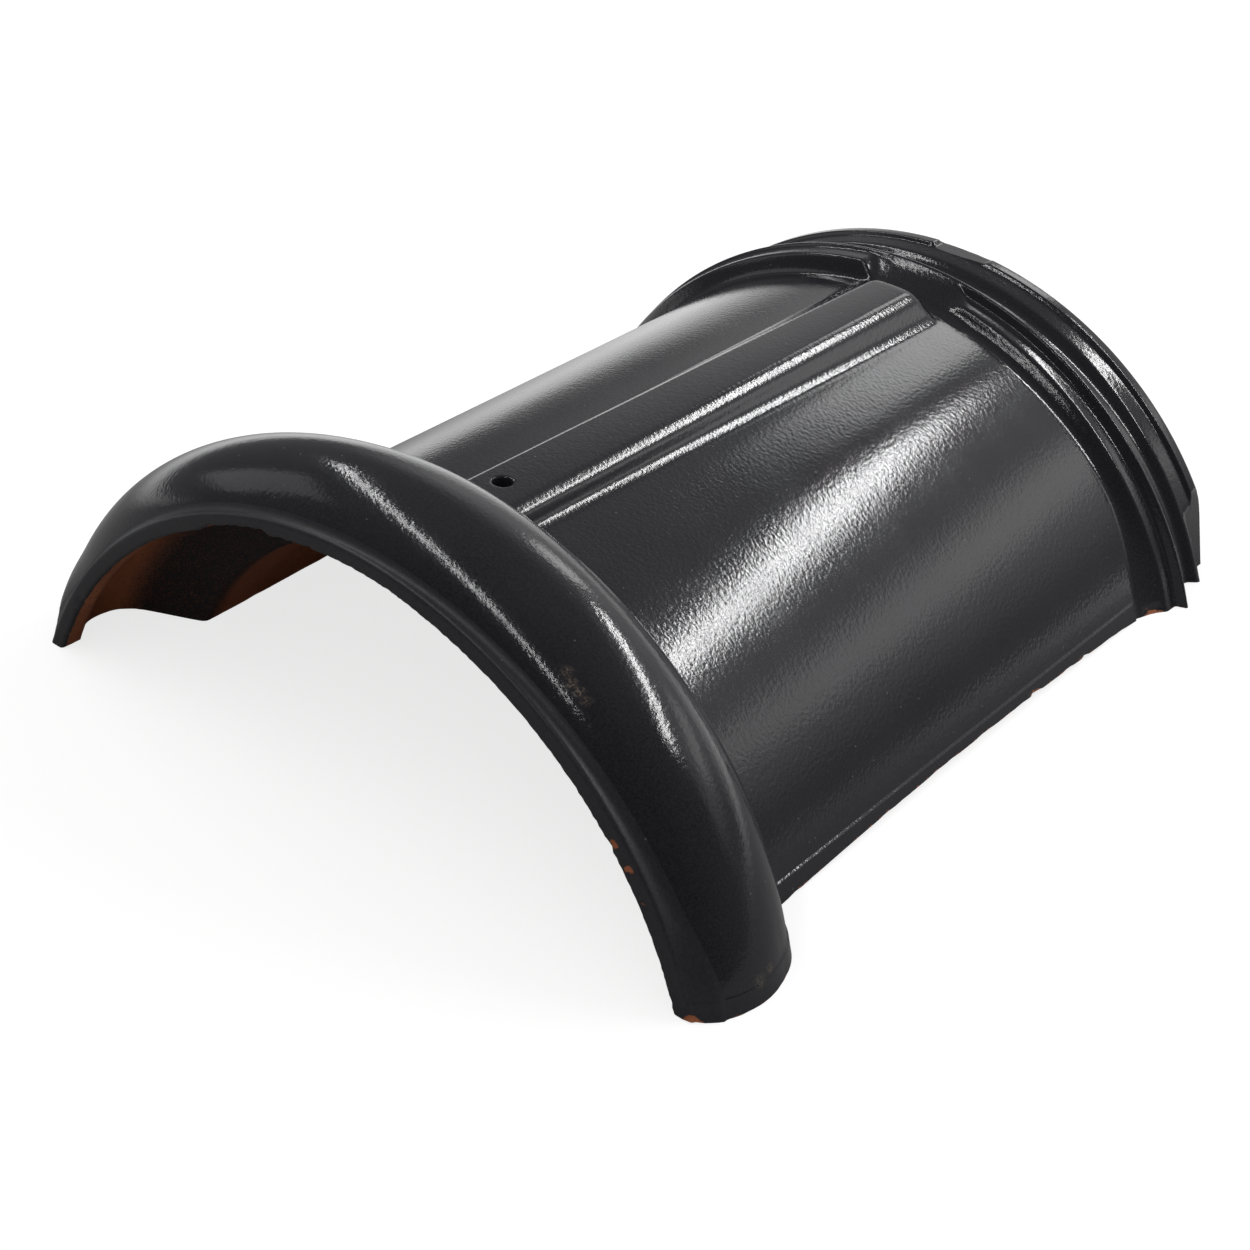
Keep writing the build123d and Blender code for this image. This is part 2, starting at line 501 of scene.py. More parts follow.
def cut_notch(radius, angle, across, station):
    """Radius of the rim with the notch cut into its crown."""
    floor = (body_radius + step_shelf_height) / np.cos(angle)
    offset = np.abs(across - crown_shift(station) + notch_shift)
    inside = smooth(notch_half + 0.6, notch_half - 0.5, offset)
    return radius + (np.minimum(radius, floor) - radius) * inside


def cut_trim(radius, angle):
    """Radius of the rim with the flats that trim its two sides."""
    lean = np.abs(np.sin(angle)) + trim_lean * np.cos(angle)
    flat = (trim_foot + axis_drop * trim_lean) / lean
    return soft_min(radius, flat, trim_round)


def rear_row(station, height):
    """Row of the rib, the groove or the rim."""
    def row(angle):
        across = body_radius * np.sin(angle)
        radius = np.full_like(angle, body_radius + height)
        if station < recess_end:
            radius = cut_recess(across, station, height)
        if station > rim_start - 0.05:
            radius = cut_notch(radius, angle, across, station)
        if station > trim_start:
            radius = cut_trim(radius, angle)
        return np.full_like(angle, station), radius
    return row


def end_row(share):
    """Row of the rear face, from the rim down to the bore."""
    top = rear_row(tile_length, rim_foot)

    def row(angle):
        station, radius = top(angle)
        low = inner_radius + bore_edge
        return station, radius + (low - radius) * share
    return row


# All rows round the section, each with the kind of surface that it belongs to

def lip_rows():
    """The lip's inner edge, its front face and its outer edge, up to the roll."""
    start = (lip_inner_edge, lip_radius)
    end = (0.0, lip_radius + lip_inner_edge)
    rows = [("lip", edge_row(*p, 1.0)) for p in bend(start, (0.0, lip_radius), end, 5)]
    face = lip_height - lip_inner_edge - lip_outer_edge
    for t in (0.0, 0.35, 0.7):
        rows.append(("lip", edge_row(0.0, lip_radius + lip_inner_edge + t * face, 1.0 - t)))
    start = (0.0, lip_top - lip_outer_edge)
    end = (lip_round, lip_top)
    rows += [("ledge", plain_row(*p)) for p in bend(start, (0.0, lip_top - 0.1), end, 6)]
    rows += [("ledge", lip_row(t)) for t in (0.0, 0.15, 0.3, 0.45, 0.6, 0.75, 0.9)]
    return rows


def roll_rows():
    """The roll and the cove behind it."""
    rows = [("roll", roll_row(i / roll_steps)) for i in range(roll_steps)]
    rows += [("root", root_row(i / root_steps)) for i in range(root_steps)]
    return rows


def body_rows():
    """The body up to the end of its crown band, with rows of their own at the nail hole."""
    start = roll_end + roll_root
    end = band_end - band_end_reach
    rows = [("body", body_row(start + t * (hole_front - start))) for t in (0.0, 0.25, 0.5, 0.75)]
    rows += [("hole", body_row(hole_front + i)) for i in range(hole_row_count)]
    for i in range(body_steps):
        rows.append(("body", body_row(hole_rear + (i + 1) / body_steps * (end - hole_rear))))
    rows += [("body", body_row(end + d)) for d in band_end_rows]
    return rows


def rear_rows():
    """The rib, the groove, the rim, the rear face and the bore's rear edge."""
    rows = [("rear", rear_row(*p)) for p in rear_line()]
    rows += [("end", end_row(t)) for t in (0.12, 0.28, 0.44, 0.6, 0.76, 0.9)]
    start = (tile_length, inner_radius + bore_edge)
    end = (tile_length - bore_edge, inner_radius)
    rows += [("bore", plain_row(*p)) for p in bend(start, (tile_length, inner_radius), end, 4)]
    return rows


def bore_rows():
    """The bore from the rear to the slope of the hollow, with rows of their own at the nail hole."""
    first = tile_length - bore_edge
    last = shoulder_end + shoulder_turn
    rows = []
    for i in range(bore_steps):
        rows.append(("bore", plain_row(first + i / bore_steps * (hole_rear - first), inner_radius)))
    rows += [("hole_in", plain_row(hole_rear - i, inner_radius)) for i in range(hole_row_count)]
    for t in (0.2, 0.4, 0.6, 0.8):
        rows.append(("bore", plain_row(hole_front + t * (last - hole_front), inner_radius)))
    return rows


def shoulder_rows():
    """The slope from the bore up to the roll's hollow."""
    slope = (lip_radius - inner_radius) / (shoulder_end - hollow_end)
    start = (shoulder_end + shoulder_turn, inner_radius)
    end = (shoulder_end - shoulder_lead, inner_radius + shoulder_lead * slope)
    rows = [("shoulder", plain_row(*p)) for p in bend(start, (shoulder_end, inner_radius), end, 4)]
    for t in (0.0, 0.2, 0.4, 0.6, 0.8):
        station = shoulder_end - shoulder_lead - t * shoulder_run
        radius = inner_radius + (shoulder_lead + t * shoulder_run) * slope
        rows.append(("shoulder", plain_row(station, radius)))
    start = (hollow_end + hollow_turn, lip_radius - hollow_turn * slope)
    end = (hollow_end - hollow_turn, lip_radius + hollow_lead)
    rows += [("shoulder", plain_row(*p)) for p in bend(start, (hollow_end, lip_radius), end, 4)]
    return rows


def hollow_rows():
    """The roll's hollow and the underside of the lip."""
    half = (hollow_end - lip_width) / 2
    bow = (half**2 + hollow_depth**2) / (2 * hollow_depth)
    reach = math.asin(half / bow)
    rows = []
    for i in range(1, hollow_steps):
        a = reach - 2 * reach * i / hollow_steps
        station = lip_width + half + bow * math.sin(a)
        radius = lip_radius + hollow_depth - bow + bow * math.cos(a)
        rows.append(("hollow", plain_row(station, radius)))
    for t in (0.0, 0.3, 0.6, 0.85):
        station = lip_width - t * (lip_width - lip_inner_edge)
        rows.append(("under", edge_row(station, lip_radius, t**2)))
    return rows


def section_rows():
    """Rows from the lip over the outside to the rear end, and back through the inside."""
    outside = lip_rows() + roll_rows() + body_rows() + rear_rows()
    return outside + bore_rows() + shoulder_rows() + hollow_rows()


# Columns across the arch, from the left foot to the right foot

def column_angles():
    """Angles on the body, dense at the crown band and at the feet."""
    right = [math.asin(i * column_step / body_radius) for i in range(crown_columns)]
    low = math.radians(side_end)
    first = right[-1]
    right += [first + (i + 1) / side_columns * (low - first) for i in range(side_columns)]
    heights = list(np.linspace(23.0, 12.5, 9)) + list(np.linspace(11.5, 6.6, 6))
    heights += strip_columns
    right += [math.acos((h + axis_drop) / body_radius) for h in heights]
    return np.array([-a for a in reversed(right[1:])] + right)


def edge_height(station, side):
    """Height of the bottom edge over the ground: bowed along the body and a little ragged."""
    middle = (roll_end + rib_start) / 2
    half = (rib_start - roll_end) / 2
    bow = edge_hollow * np.clip(1.0 - ((station - middle) / half) ** 2, 0.0, 1.0)
    ragged = np.maximum(wander(6, 1.0, [(s * 0.16, d, 0.0) for s, d in zip(station, side)]), 0.0)
    return bow + edge_ragged * ragged


def spread_foot(angle, station):
    """Station with the rib's front drawn forward towards the feet."""
    low, high = (math.radians(v) for v in foot_spread_range)
    foot = smooth(low, high, np.abs(angle))
    pull = smooth(*foot_spread_start, station) * smooth(riser_top, foot_spread_end, station)
    return station - foot_spread * foot * pull


def foot_pad(x, station, z):
    """Place across the ridge at the roll's feet, where a low pad stands a little proud."""
    reach = np.clip(1.0 - ((station - pad_middle) / pad_half) ** 2, 0.0, 1.0)
    pad = pad_base + roll_height * np.sqrt(reach)
    reach = np.clip(1.0 - ((station - roll_middle) / roll_half) ** 2, 0.0, 1.0)
    roll = np.maximum(roll_foot_half + roll_height * (np.sqrt(reach) - 1.0), lip_foot_half)
    gap = np.maximum(pad - pad_gap - roll, 0.0)
    proud = pad_proud[0] + pad_proud[1] * smooth(*pad_proud_stations, station)
    out = x + gap * smooth(*pad_fade, z) + proud * smooth(*pad_turn, z)
    return np.minimum(out, pad_base + roll_height - pad_inset)


def tile_points(rows, angles):
    """Grid of points: one row of the section by one column across the arch."""
    height = body_radius * np.cos(angles) - axis_drop
    low, high = (math.radians(v) for v in level_range)
    level = smooth(low, high, np.abs(angles))
    side = np.sign(angles)
    grid = np.zeros((len(rows), len(angles), 3))
    for i, (kind, row) in enumerate(rows):
        angle = angles.copy()
        for _ in range(6):
            station, radius = row(angle)
            lift = edge_height(station, side)
            aim = height + lift * np.clip(1.0 - height / edge_reach, 0.0, 1.0)
            there = np.arccos(np.clip((aim + axis_drop) / radius, -1.0, 1.0)) * side
            angle = angles + (there - angles) * level
        station, radius = row(angle)
        x = radius * np.sin(angle)
        z = radius * np.cos(angle) - axis_drop
        if kind in ("body", "root", "hole"):
            x = x + side * strip_projection * smooth(*strip_turn, z)
        if kind in ("ledge", "roll", "root"):
            x = side * foot_pad(np.abs(x), station, z)
        if kind in ("body", "rear"):
            station = spread_foot(angle, station)
        grid[i, :, 0] = x
        grid[i, :, 1] = station - tile_length / 2
        grid[i, :, 2] = np.maximum(z, 0.0)
    return grid


# Faces

def tile_faces(rows, columns):
    """Quads of the skin, with the nail hole's blocks left out on both sides of the wall."""
    count = len(rows)
    kinds = [kind for kind, _ in rows]
    middle = columns // 2
    faces = []
    for i in range(count):
        n = (i + 1) % count
        at_hole = kinds[i] == kinds[n] and kinds[i] in ("hole", "hole_in")
        for j in range(columns - 1):
            if at_hole and middle - hole_cells <= j < middle + hole_cells:
                continue
            faces.append((i * columns + j, i * columns + j + 1, n * columns + j + 1, n * columns + j))
    return faces


def block_border(rows, columns, kind):
    """Vertices round a nail hole's block, in the same turn for both sides of the wall."""
    index = [i for i, (k, _) in enumerate(rows) if k == kind]
    if kind == "hole_in":
        index = index[::-1]
    middle = columns // 2
    left, right = middle - hole_cells, middle + hole_cells
    border = [index[0] * columns + j for j in range(left, right)]
    border += [i * columns + right for i in index[:-1]]
    border += [index[-1] * columns + j for j in range(right, left, -1)]
    border += [i * columns + left for i in index[:0:-1]]
    return border


def nail_hole(points, faces, rows, columns):
    """Wall of the nail hole, bridged to the grid on both sides."""
    outer = block_border(rows, columns, "hole")
    inner = block_border(rows, columns, "hole_in")
    centre = np.array([0.0, hole_station - tile_length / 2])
    turn = [math.atan2(*(points[v][:2] - centre)[::-1]) for v in outer]

    def outside(x):
        return crown_surface(x, hole_station)

    def inside(x):
        return math.sqrt(inner_radius**2 - x**2) - axis_drop

    # Each ring's radius, the surface that it follows and its height over that surface
    hole_rings = (
        (3.9, outside, 0.0),
        (3.4, outside, 0.0),
        (3.05, outside, -0.1),
        (2.85, outside, -0.35),
        (hole_radius, outside, -0.9),
        (hole_radius, outside, -5.0),
        (hole_radius, inside, 5.0),
        (hole_radius, inside, 0.8),
        (2.95, inside, 0.2),
        (3.4, inside, 0.0),
    )
    rings = [outer]
    for radius, surface, rise in hole_rings:
        ring = []
        for a in turn:
            ring.append(len(points))
            x = centre[0] + radius * math.cos(a)
            y = centre[1] + radius * math.sin(a)
            points.append(np.array([x, y, surface(x) + rise]))
        rings.append(ring)
    rings.append(inner)
    count = len(outer)
    for a, b in zip(rings, rings[1:]):
        for i in range(count):
            n = (i + 1) % count
            faces.append((a[i], a[n], b[n], b[i]))


def foot_faces(grid, faces, rows):
    """Undersides of the two feet, zipped from the outer to the inner outline."""
    columns = grid.shape[1]
    outer = [i for i, (kind, _) in enumerate(rows) if kind not in inside_kinds]
    inner = [i for i, (kind, _) in enumerate(rows) if kind in inside_kinds][::-1]
    for column in (0, columns - 1):
        station = grid[:, column, 1]
        a, b = 0, 0
        while a < len(outer) - 1 or b < len(inner) - 1:
            inner_done = b == len(inner) - 1
            outer_left = a < len(outer) - 1
            if outer_left and (inner_done or station[outer[a + 1]] <= station[inner[b + 1]]):
                corners = (outer[a], outer[a + 1], inner[b])
                a += 1
            else:
                corners = (outer[a], inner[b + 1], inner[b])
                b += 1
            face = tuple(i * columns + column for i in corners)
            faces.append(face if column == 0 else face[::-1])


# Chips: place across, station, height, reach, depth and how much clay they lay bare
chips = (
    (-104.9, 0.0, 21.4, 2.2, 0.4, 0.2),
    (90.5, 0.0, 40.0, 2.2, 0.8, 0.9),
    (95.6, 0.0, 35.2, 2.2, 0.8, 0.9),
    (101.5, 0.0, 27.0, 1.8, 0.6, 0.5),
    (119.3, 0.0, 0.6, 3.0, 0.7, 1.2),
    (-122.5, 12.0, 9.0, 3.0, 0.5, 0.0),
    (107.5, 186.4, 2.0, 2.4, 0.8, 1.1),
    (107.7, 205.4, 1.3, 1.8, 0.6, 0.9),
    (107.9, 216.4, 1.0, 2.0, 0.8, 0.0),
    (108.2, 226.9, 0.2, 1.6, 0.5, 0.8),
    (-107.6, 120.0, 2.2, 2.2, 0.7, 0.9),
    (-107.9, 214.0, 1.0, 1.8, 0.6, 0.7),
    (112.5, 255.0, 0.0, 5.0, 0.5, 0.9),
    (-112.5, 256.5, 0.0, 3.5, 0.4, 0.8),
)

# Scuffs: place across, station, height, reach and strength
scuffs = (
    (65.4, 9.5, 74.2, 1.8, 0.8),
    (67.6, 8.7, 72.2, 1.9, 0.9),
    (70.2, 8.8, 70.7, 1.9, 0.9),
    (72.6, 8.9, 69.1, 1.6, 0.7),
    (123.9, 19.3, 5.4, 3.2, 0.8),
    (125.2, 24.0, 7.2, 1.8, 0.6),
    (123.0, 14.0, 4.6, 2.0, 0.5),
    (126.0, 26.0, 15.0, 2.2, 0.4),
)

# Share of a spot's reach over which it is full
spot_core = 0.35

# Waves pressed into the skin: depth in millimetres and scale of the noise
broad_wave = (0.06, 0.022)
small_wave = (0.008, 0.075)

# Bare clay along the bottom edge: how much, and over which height
edge_bare = 0.42
edge_bare_range = (0.8, 0.1)

# Dark spray inside: its middle and reach behind the hollow, and its reach and strength at the rear end
spray_station = 36.0
spray_range = (13.0, 3.0)
rear_spray_reach = 22.0
rear_spray = 0.5


def near(place, spot, reach):
    """1 at a spot, falling to 0 at its reach."""
    centre = np.array([spot[0], spot[1] - tile_length / 2, spot[2]])
    distance = np.linalg.norm(place - centre, axis=1)
    return smooth(reach, reach * spot_core, distance)


def read_vectors(mesh, name):
    """Places or normals of a mesh's vertices, one in each row."""
    values = np.empty(len(mesh.vertices) * 3)
    mesh.vertices.foreach_get(name, values)
    return values.reshape(-1, 3)


def weather(mesh, layers):
    """Waves and chips pressed into the skin, and the clay and scuffs that show, kept as attributes."""
    place = read_vectors(mesh, "co") / MM
    normal = read_vectors(mesh, "normal")
    depth = broad_wave[0] * (1.0 + wander(1, broad_wave[1], place))
    depth += small_wave[0] * (1.0 + wander(2, small_wave[1], place))
    for spot in chips:
        mask = near(place, spot, spot[3])
        depth += spot[4] * mask
        layers["bare"] += spot[5] * mask
    layers["scuff"] = np.zeros(len(place))
    for spot in scuffs:
        layers["scuff"] += spot[4] * near(place, spot, spot[3])
    over_floor = smooth(0.0, 2.5, place[:, 2])
    place -= normal * (depth * (0.3 + 0.7 * over_floor))[:, None]
    place[:, 1] = np.clip(place[:, 1], -tile_length / 2, tile_length / 2)
    place[:, 2] = np.maximum(place[:, 2], 0.0)
    mesh.vertices.foreach_set("co", (place * MM).ravel())
    for name, values in layers.items():
        layer = mesh.attributes.new(name, "FLOAT", "POINT")
        layer.data.foreach_set("value", np.clip(values, 0.0, 1.5).astype(np.float32))
    mesh.update()


def rows_of(rows, kinds):
    """Which rows are of one of these kinds."""
    return np.isin([kind for kind, _ in rows], kinds)


def bare_clay(rows, grid):
    """How much bare clay each point of the grid shows before chips: the inside and the bottom edge."""
    bare = np.zeros(grid.shape[:2])
    bare[rows_of(rows, inside_kinds)] = 1.0
    edge = np.where(grid[:, :, 0] < 0.0, grid[:, :1, 2], grid[:, -1:, 2])
    low = smooth(*edge_bare_range, grid[:, :, 2] - edge)
    return np.maximum(bare, edge_bare * low)


def overspray(rows, grid):
    """How much dark spray lies over the clay inside: behind the hollow and at the rear end."""
    station = grid[:, :, 1] + tile_length / 2
    spray = smooth(*spray_range, np.abs(station - spray_station))
    spray = spray + rear_spray * smooth(tile_length - rear_spray_reach, tile_length, station)
    return spray * rows_of(rows, inside_kinds)[:, None]


def dull_lip(rows, grid):
    """Where the skin is duller: on the lip and its ledge."""
    dull = np.zeros(grid.shape[:2])
    dull[rows_of(rows, ("lip", "ledge"))] = 1.0
    return dull


def build_tile():
    rows = section_rows()
    grid = tile_points(rows, column_angles())
    columns = grid.shape[1]
    points = list(grid.reshape(-1, 3))
    faces = tile_faces(rows, columns)
    nail_hole(points, faces, rows, columns)
    foot_faces(grid, faces, rows)
    hole_points = np.zeros(len(points) - len(rows) * columns)
    layers = {}
    for name, paint in (("bare", bare_clay), ("spray", overspray), ("dull", dull_lip)):
        layers[name] = np.concatenate([paint(rows, grid).ravel(), hole_points])
    mesh = bpy.data.meshes.new("tile_skin")
    mesh.from_pydata([tuple(p * MM) for p in points], [], faces)
    mesh.update()
    mesh.shade_smooth()
    piece = bpy.data.objects.new("tile_skin", mesh)
    bpy.context.scene.collection.objects.link(piece)
    weather(mesh, layers)
    return piece


# Material

def noise_value(tree, place, scale, detail):
    """Noise at a place, about 0.5 on average."""
    node = tree.nodes.new("ShaderNodeTexNoise")
    node.inputs["Scale"].default_value = scale
    node.inputs["Detail"].default_value = detail
    tree.links.new(place, node.inputs["Vector"])
    return node.outputs["Fac"]


def ramp(tree, value, low, high, start=0.0, end=1.0):
    """Value mapped evenly from low..high to start..end."""
    node = tree.nodes.new("ShaderNodeMapRange")
    for name, number in (("From Min", low), ("From Max", high), ("To Min", start), ("To Max", end)):
        node.inputs[name].default_value = number
    tree.links.new(value, node.inputs["Value"])
    return node.outputs["Result"]


def calculate(tree, operation, first, second):
    """Result of a sum, product or comparison of two numbers or sockets."""
    node = tree.nodes.new("ShaderNodeMath")
    node.operation = operation
    for socket, item in zip(node.inputs, (first, second)):
        if isinstance(item, float):
            socket.default_value = item
        else:
            tree.links.new(item, socket)
    return node.outputs[0]


def mix(tree, kind, factor, first, second):
    """Mix of two colours or two numbers."""
    node = tree.nodes.new("ShaderNodeMix")
    node.data_type = kind
    pick = {"RGBA": (6, 7, 2), "FLOAT": (2, 3, 0)}[kind]
    tree.links.new(factor, node.inputs[0])
    for index, item in zip(pick, (first, second)):
        socket = node.inputs[index]
        if isinstance(item, (tuple, float)):
            socket.default_value = item
        else:
            tree.links.new(item, socket)
    return node.outputs[pick[2]]


def attribute(tree, name):
    """Value that the mesh keeps at its vertices."""
    node = tree.nodes.new("ShaderNodeAttribute")
    node.attribute_name = name
    return node.outputs["Fac"]


def speck_mask(tree, place, scale, size, share):
    """Small scattered dots: the share of cells that carry one and the dot's size in a cell."""
    node = tree.nodes.new("ShaderNodeTexVoronoi")
    node.inputs["Scale"].default_value = scale
    tree.links.new(place, node.inputs["Vector"])
    split = tree.nodes.new("ShaderNodeSeparateColor")
    tree.links.new(node.outputs["Color"], split.inputs["Color"])
    dot = ramp(tree, node.outputs["Distance"], size, size * 0.5)
    chosen = calculate(tree, "LESS_THAN", split.outputs["Red"], share)
    return calculate(tree, "MULTIPLY", dot, chosen)


def engobe_colour(tree, place, rubbed):
    """Near black with a faint mottle, pale specks and brownish rubbed places."""
    tone = ramp(tree, noise_value(tree, place, 38.0, 4.0), 0.3, 0.7)
    colour = mix(tree, "RGBA", tone, (0.0095, 0.0092, 0.0125, 1.0), (0.0145, 0.0141, 0.0180, 1.0))
    mottle = ramp(tree, noise_value(tree, place, 1500.0, 2.0), 0.35, 0.7)
    colour = mix(tree, "RGBA", mottle, colour, (0.0200, 0.0195, 0.0235, 1.0))
    dust = speck_mask(tree, place, 260.0, 0.09, 0.30)
    colour = mix(tree, "RGBA", dust, colour, (0.09, 0.09, 0.09, 1.0))
    return mix(tree, "RGBA", rubbed, colour, (0.140, 0.106, 0.080, 1.0))


def clay_colour(tree, place):
    """Red clay with dark grit, under a mist of dark spray."""
    patch = ramp(tree, noise_value(tree, place, 70.0, 5.0), 0.3, 0.7)
    colour = mix(tree, "RGBA", patch, (0.29, 0.088, 0.033, 1.0), (0.40, 0.130, 0.053, 1.0))
    grit = speck_mask(tree, place, 420.0, 0.22, 0.25)
    colour = mix(tree, "RGBA", grit, colour, (0.10, 0.045, 0.03, 1.0))
    drops = ramp(tree, noise_value(tree, place, 1600.0, 3.0), 0.3, 0.7, -0.25, 0.15)
    mist = calculate(tree, "ADD", attribute(tree, "spray"), drops)
    return mix(tree, "RGBA", ramp(tree, mist, 0.05, 0.95), colour, (0.016, 0.014, 0.015, 1.0))


def skin_roughness(tree, place, rubbed, bare):
    """Satin engobe, duller on the lip and where it is rubbed, and matt clay."""
    gloss = ramp(tree, noise_value(tree, place, 55.0, 3.0), 0.3, 0.7, 0.11, 0.15)
    gloss = calculate(tree, "ADD", gloss, calculate(tree, "MULTIPLY", rubbed, 0.3))
    gloss = calculate(tree, "ADD", gloss, calculate(tree, "MULTIPLY", attribute(tree, "dull"), 0.32))
    return mix(tree, "FLOAT", bare, gloss, 0.85)


def skin_normal(tree, place, bare):
    """Fine grain of the engobe and coarser sand of the clay, with heights in millimetres."""
    skin = calculate(tree, "MULTIPLY", noise_value(tree, place, 820.0, 3.0), 0.062)
    sand = calculate(tree, "MULTIPLY", noise_value(tree, place, 800.0, 4.0), 0.20)
    bump = tree.nodes.new("ShaderNodeBump")
    bump.inputs["Distance"].default_value = MM
    tree.links.new(mix(tree, "FLOAT", bare, skin, sand), bump.inputs["Height"])
    return bump.outputs["Normal"]


def clay_material():
    """Black satin engobe over red clay, which shows inside and where the edges are chipped."""
    material = bpy.data.materials.new("engobed_clay_skin")
    material.use_nodes = True
    tree = material.node_tree
    shader = tree.nodes["Principled BSDF"]
    place = tree.nodes.new("ShaderNodeTexCoord").outputs["Object"]
    streaks = ramp(tree, noise_value(tree, place, 1800.0, 3.0), 0.38, 0.62)
    rubbed = calculate(tree, "MULTIPLY", attribute(tree, "scuff"), streaks)
    grain = ramp(tree, noise_value(tree, place, 420.0, 4.0), 0.25, 0.75, -0.32, 0.32)
    bare = ramp(tree, calculate(tree, "ADD", attribute(tree, "bare"), grain), 0.40, 0.62)
    colour = mix(tree, "RGBA", bare, engobe_colour(tree, place, rubbed), clay_colour(tree, place))
    tree.links.new(colour, shader.inputs["Base Color"])
    tree.links.new(skin_roughness(tree, place, rubbed, bare), shader.inputs["Roughness"])
    tree.links.new(skin_normal(tree, place, bare), shader.inputs["Normal"])
    return material


# Stage

# Directions of the white floor behind the tile, of a grey sheet and of the edge of a white sweep
rear_way = (-0.45, 0.89, 0.0)
sheet_way = (0.139, 0.990, 0.0)
sweep_way = (0.4995, 0.532, -0.682)
sheet_level = 0.74
soft_level = 0.4
white_level = 1.0
floor_half = 6.0

# Lamps: name, azimuth, elevation, distance, width, height and radiance.
# Azimuth and elevation are in degrees, azimuth is measured from +Y towards +X, and sizes are in metres.
lamps = (
    ("strip_lamp", 36.0, 41.5, 1.2, 1.04, 0.055, 33.0),
    ("strip_end", -11.0, 32.0, 1.2, 0.24, 0.26, 3.0),
    ("top_lamp", -133.0, 59.5, 1.2, 2.9, 0.03, 26.0),
    ("side_panel", 35.0, 22.0, 1.4, 0.6, 0.22, 0.9),
    ("left_panel", -106.0, 25.0, 1.5, 0.6, 0.7, 0.55),
)
lamp_target = (0.03, 0.0, 0.06)

# Camera: angles in degrees, distances in millimetres before scaling, and the picture in its own pixels
camera_scale = 1.09
camera_azimuth = 38.551
camera_elevation = 31.960
camera_roll = 3.770
camera_distance = 657.018
camera_side = 43.300
camera_rise = 25.397
camera_target_station = 130.0
camera_target_height = 40.0
camera_focal = 2382.69
camera_shift = (-110.80, -38.61)
picture_pixels = 1250.0
sensor_width = 36.0


def facing(tree, place, way):
    """How far a place or a direction lies along a way."""
    node = tree.nodes.new("ShaderNodeVectorMath")
    node.operation = "DOT_PRODUCT"
    node.inputs[1].default_value = way
    tree.links.new(place, node.inputs[0])
    return node.outputs["Value"]


def seen_straight(tree, path):
    """1 where the camera looks straight at a place, or through something clear."""
    return calculate(tree, "MAXIMUM", path.outputs["Is Camera Ray"], path.outputs["Is Transmission Ray"])


def floor_material():
    """Pale paint that keeps the tile's shadow and turns white away from it."""
    material = bpy.data.materials.new("floor")
    material.use_nodes = True
    tree = material.node_tree
    tree.nodes.clear()
    out = tree.nodes.new("ShaderNodeOutputMaterial")
    paint = tree.nodes.new("ShaderNodeBsdfDiffuse")
    paint.inputs["Color"].default_value = (0.35, 0.35, 0.35, 1.0)
    place = tree.nodes.new("ShaderNodeTexCoord").outputs["Object"]
    length = tree.nodes.new("ShaderNodeVectorMath")
    length.operation = "LENGTH"
    tree.links.new(place, length.inputs[0])
    open_floor = ramp(tree, length.outputs["Value"], 0.45, 0.9, 0.76, 1.0)
    rear_floor = ramp(tree, facing(tree, place, rear_way), 0.1, 0.35)
    path = tree.nodes.new("ShaderNodeLightPath")
    straight = calculate(tree, "MULTIPLY", seen_straight(tree, path), open_floor)
    mirrored = calculate(tree, "MULTIPLY", path.outputs["Is Glossy Ray"], rear_floor)
    lift = tree.nodes.new("ShaderNodeEmission")
    tree.links.new(calculate(tree, "MAXIMUM", straight, mirrored), lift.inputs["Strength"])
    blend = tree.nodes.new("ShaderNodeAddShader")
    tree.links.new(paint.outputs[0], blend.inputs[0])
    tree.links.new(lift.outputs[0], blend.inputs[1])
    tree.links.new(blend.outputs[0], out.inputs["Surface"])
    return material


def set_floor():
    mesh = bpy.data.meshes.new("floor")
    corners = [(x * floor_half, y * floor_half, 0) for x, y in ((-1, -1), (1, -1), (1, 1), (-1, 1))]
    mesh.from_pydata(corners, [], [(0, 1, 2, 3)])
    mesh.materials.append(floor_material())
    floor = bpy.data.objects.new("floor", mesh)
    bpy.context.scene.collection.objects.link(floor)


def room_level(tree, way):
    """What gloss reflects: a dim room, and behind the tile a grey sheet with a low white sweep."""
    split = tree.nodes.new("ShaderNodeSeparateXYZ")
    tree.links.new(way, split.inputs[0])
    rise = split.outputs["Z"]
    rear = facing(tree, way, rear_way)
    room = ramp(tree, rear, -0.8, 0.15, 0.055, 0.18)
    sheet = ramp(tree, facing(tree, way, sheet_way), 0.54, 0.70)
    sheet = calculate(tree, "MULTIPLY", sheet, ramp(tree, rise, 0.40, 0.75, 1.0, 0.2))
    sheet = calculate(tree, "MULTIPLY", sheet, ramp(tree, rise, 0.14, 0.30, 0.1, 1.0))
    room = mix(tree, "FLOAT", sheet, room, sheet_level)
    sweep = ramp(tree, facing(tree, way, sweep_way), -0.015, 0.045)
    sweep = calculate(tree, "MULTIPLY", sweep, ramp(tree, rise, 0.12, 0.25, 1.0, 0.0))
    sweep = calculate(tree, "MULTIPLY", sweep, ramp(tree, rear, 0.5, 0.8))
    return mix(tree, "FLOAT", sweep, room, white_level)


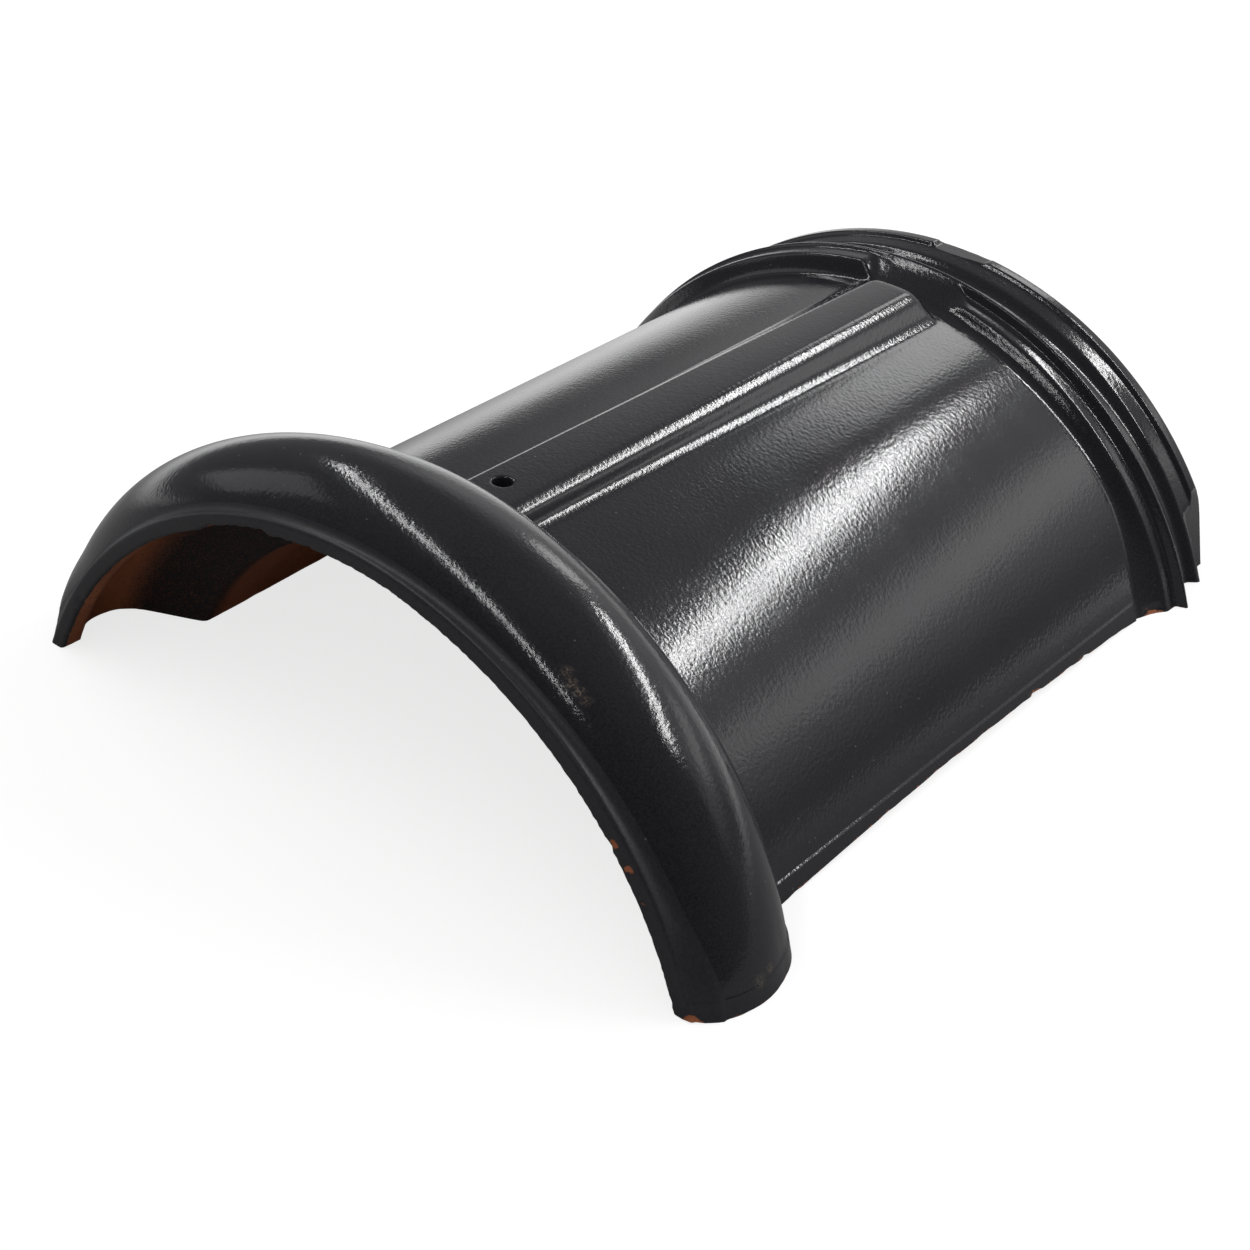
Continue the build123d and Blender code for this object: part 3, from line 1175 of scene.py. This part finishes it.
def set_world():
    """Soft even light, white to the camera and a room to gloss."""
    world = bpy.data.worlds.new("studio")
    bpy.context.scene.world = world
    world.use_nodes = True
    tree = world.node_tree
    tree.nodes.clear()
    way = tree.nodes.new("ShaderNodeTexCoord").outputs["Generated"]
    path = tree.nodes.new("ShaderNodeLightPath")
    level = mix(tree, "FLOAT", path.outputs["Is Glossy Ray"], soft_level, room_level(tree, way))
    level = mix(tree, "FLOAT", seen_straight(tree, path), level, white_level)
    back = tree.nodes.new("ShaderNodeBackground")
    back.inputs["Color"].default_value = (1.0, 1.0, 1.0, 1.0)
    tree.links.new(level, back.inputs["Strength"])
    out = tree.nodes.new("ShaderNodeOutputWorld")
    tree.links.new(back.outputs[0], out.inputs["Surface"])


def lamp(name, azimuth, elevation, distance, width, height, radiance):
    """Soft box aimed at the tile."""
    a, e = math.radians(azimuth), math.radians(elevation)
    way = Vector((math.sin(a) * math.cos(e), math.cos(a) * math.cos(e), math.sin(e)))
    light = bpy.data.lights.new(name, "AREA")
    light.shape = "RECTANGLE"
    light.size = width
    light.size_y = height
    light.energy = radiance * math.pi * width * height
    holder = bpy.data.objects.new(name, light)
    turn = way.to_track_quat("Z", "Y").to_matrix().to_4x4()
    holder.matrix_world = Matrix.Translation(Vector(lamp_target) + way * distance) @ turn
    bpy.context.scene.collection.objects.link(holder)


def camera_axes():
    """The camera's right, up and back directions."""
    azimuth, elevation, roll = (math.radians(v) for v in (camera_azimuth, camera_elevation, camera_roll))
    level = math.cos(elevation)
    back = Vector((math.sin(azimuth) * level, -math.cos(azimuth) * level, math.sin(elevation)))
    right = Vector((0, 0, 1)).cross(back).normalized()
    up = back.cross(right)
    c, s = math.cos(roll), math.sin(roll)
    return right * c + up * s, up * c - right * s, back


def set_camera():
    right, up, back = camera_axes()
    target_y = camera_target_station * camera_scale - tile_length / 2
    target = Vector((0.0, target_y, camera_target_height * camera_scale))
    place = target + back * (camera_distance * camera_scale)
    place = (place - right * (camera_side * camera_scale) - up * (camera_rise * camera_scale)) * MM
    data = bpy.data.cameras.new("camera")
    data.sensor_width = sensor_width
    data.lens = sensor_width * camera_focal / picture_pixels
    data.shift_x = -camera_shift[0] / picture_pixels
    data.shift_y = camera_shift[1] / picture_pixels
    data.clip_start = 0.01
    camera = bpy.data.objects.new("camera", data)
    turn = Matrix((right, up, back)).transposed().to_4x4()
    camera.matrix_world = Matrix.Translation(place) @ turn
    bpy.context.scene.collection.objects.link(camera)
    bpy.context.scene.camera = camera


tile = build_tile()
tile.data.materials.append(clay_material())
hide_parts("ridge_tile")
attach(tile, "root")
set_floor()
set_world()
for values in lamps:
    lamp(*values)
set_camera()
bpy.context.scene.view_settings.view_transform = "Standard"
